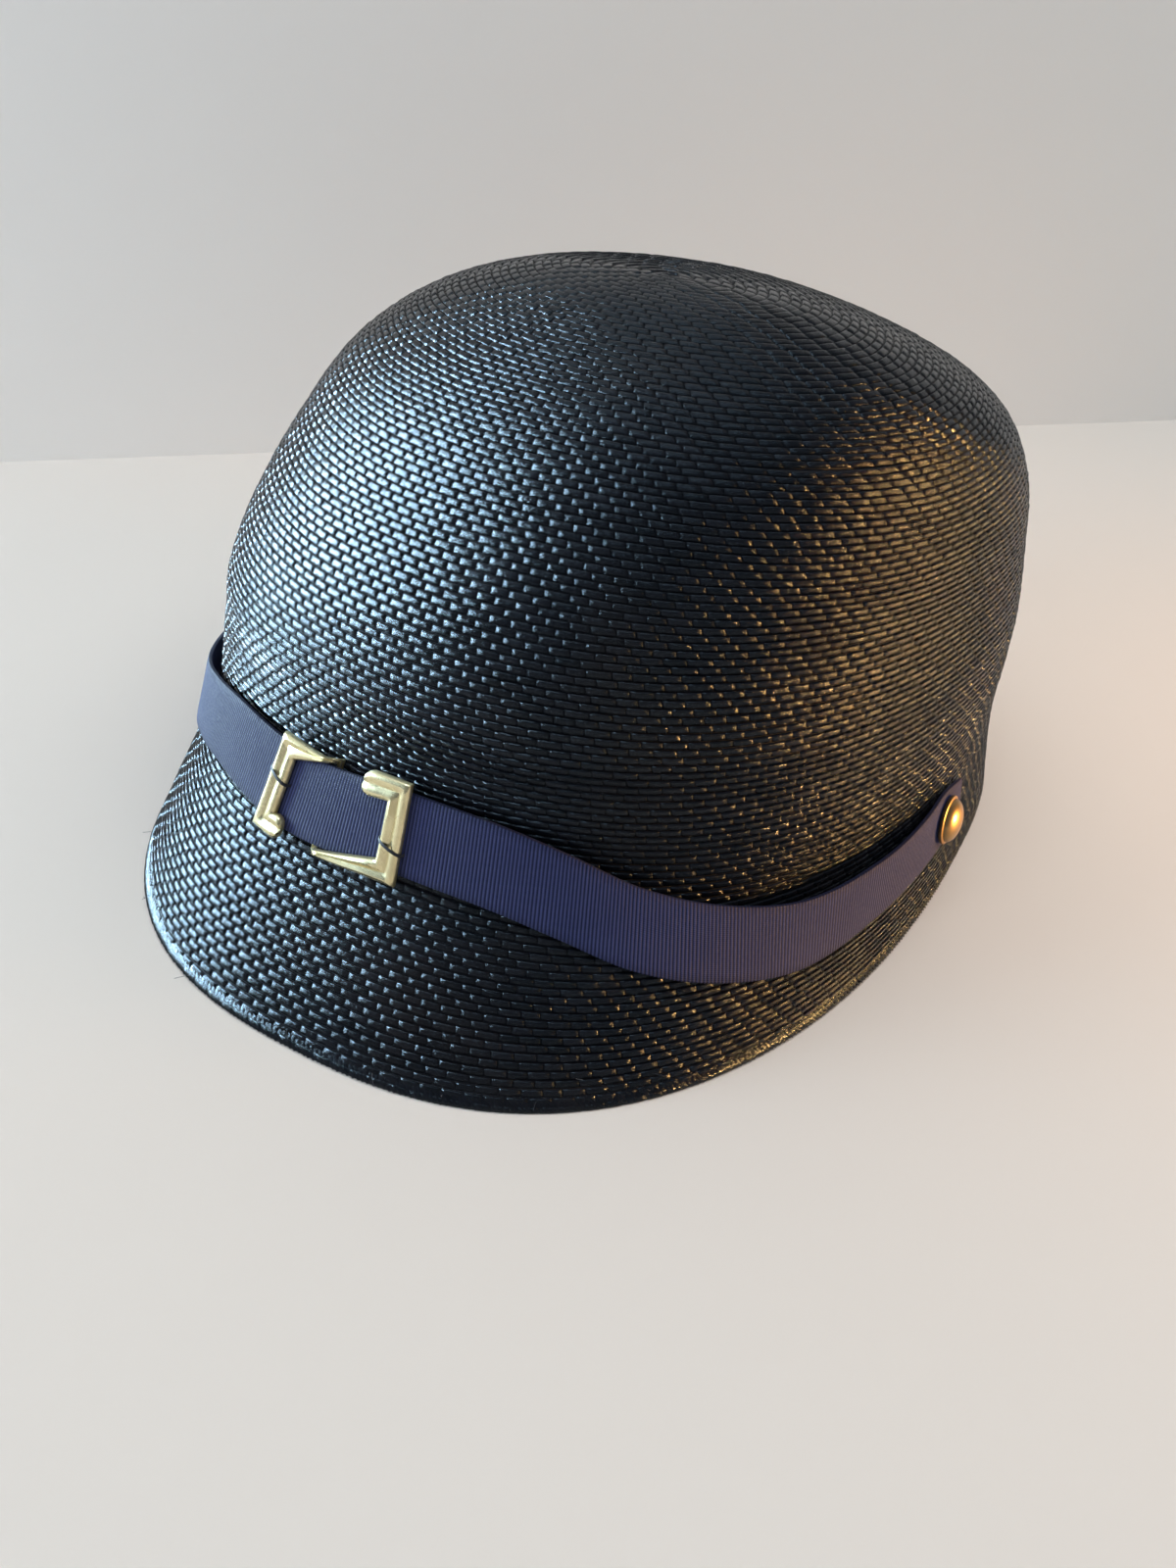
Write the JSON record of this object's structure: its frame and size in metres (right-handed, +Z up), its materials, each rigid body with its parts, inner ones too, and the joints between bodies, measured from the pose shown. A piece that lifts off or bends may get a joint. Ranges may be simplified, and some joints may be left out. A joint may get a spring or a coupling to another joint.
{
  "type": "cloche hat of sewn straw braid with a ribbon strap, a buckle and two buttons",
  "caption": "Close-fitting hollow straw hat with a rounded crown that runs into a front peak, a ribbon strap across the front, a metal buckle and domed buttons.",
  "frame": {"origin": "middle of the hat's bounding box on the plane that its rim rests on", "axes": "+Z up; -Y is the front, where the peak is; +X is the wearer's left"},
  "size_m": [0.2084, 0.248, 0.131],
  "materials": {
    "straw": "glossy dark straw braid sewn in rows",
    "ribbon": "matt ribbed ribbon",
    "pale_brass": "worn satin",
    "dark_brass": "aged satin"
  },
  "bodies": {
    "root": {"straw_body": "straw", "ribbon_strap": "ribbon", "buckle": "pale_brass", "button_left": "dark_brass", "button_right": "dark_brass"}
  },
  "joints": []
}
